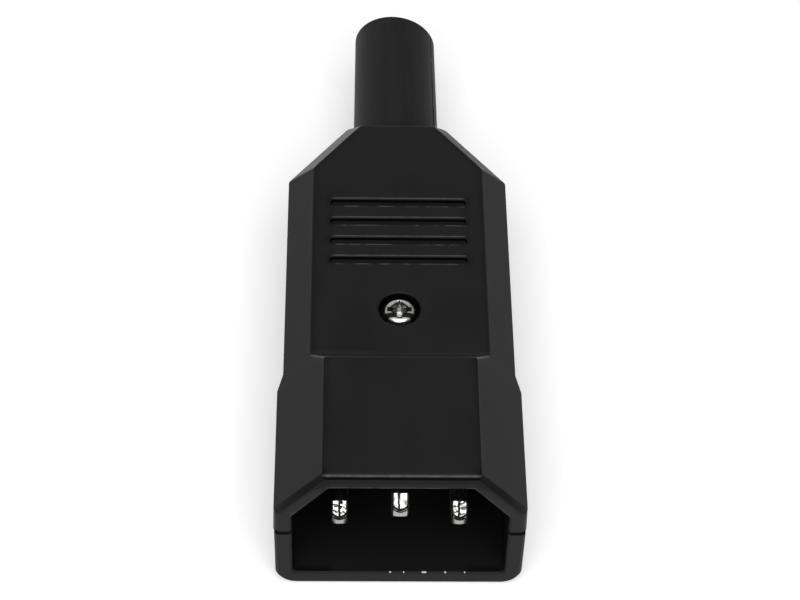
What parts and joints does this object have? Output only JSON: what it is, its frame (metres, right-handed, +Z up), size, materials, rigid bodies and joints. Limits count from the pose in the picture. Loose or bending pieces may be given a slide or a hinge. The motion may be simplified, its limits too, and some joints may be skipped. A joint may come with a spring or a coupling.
{
  "type": "inline power plug",
  "caption": "Rewirable inline appliance plug: black split housing with a shrouded recess around flat metal pins, a grip panel with grooves, a case screw and a rubber cord boot.",
  "frame": {"origin": "centre of the bounding box in plan, on the flat underside", "axes": "+Y along the plug from the open mouth to the cord boot, +Z up from the underside to the grip panel"},
  "size_m": [0.0292, 0.0817, 0.0212],
  "materials": {
    "housing": "fine moulded texture",
    "carrier": "plain moulded",
    "pins": "nickel plated",
    "screws": "zinc plated",
    "boot": "satin"
  },
  "bodies": {
    "root": {"upper_shell": "housing", "lower_shell": "housing", "pin_carrier": "carrier", "live_pin": "pins", "neutral_pin": "pins", "earth_pin": "pins", "terminal_screws": "screws", "cord_clamp": "carrier", "cord_clamp_screws": "screws", "case_screw": "screws", "cord_boot": "boot"}
  },
  "joints": []
}
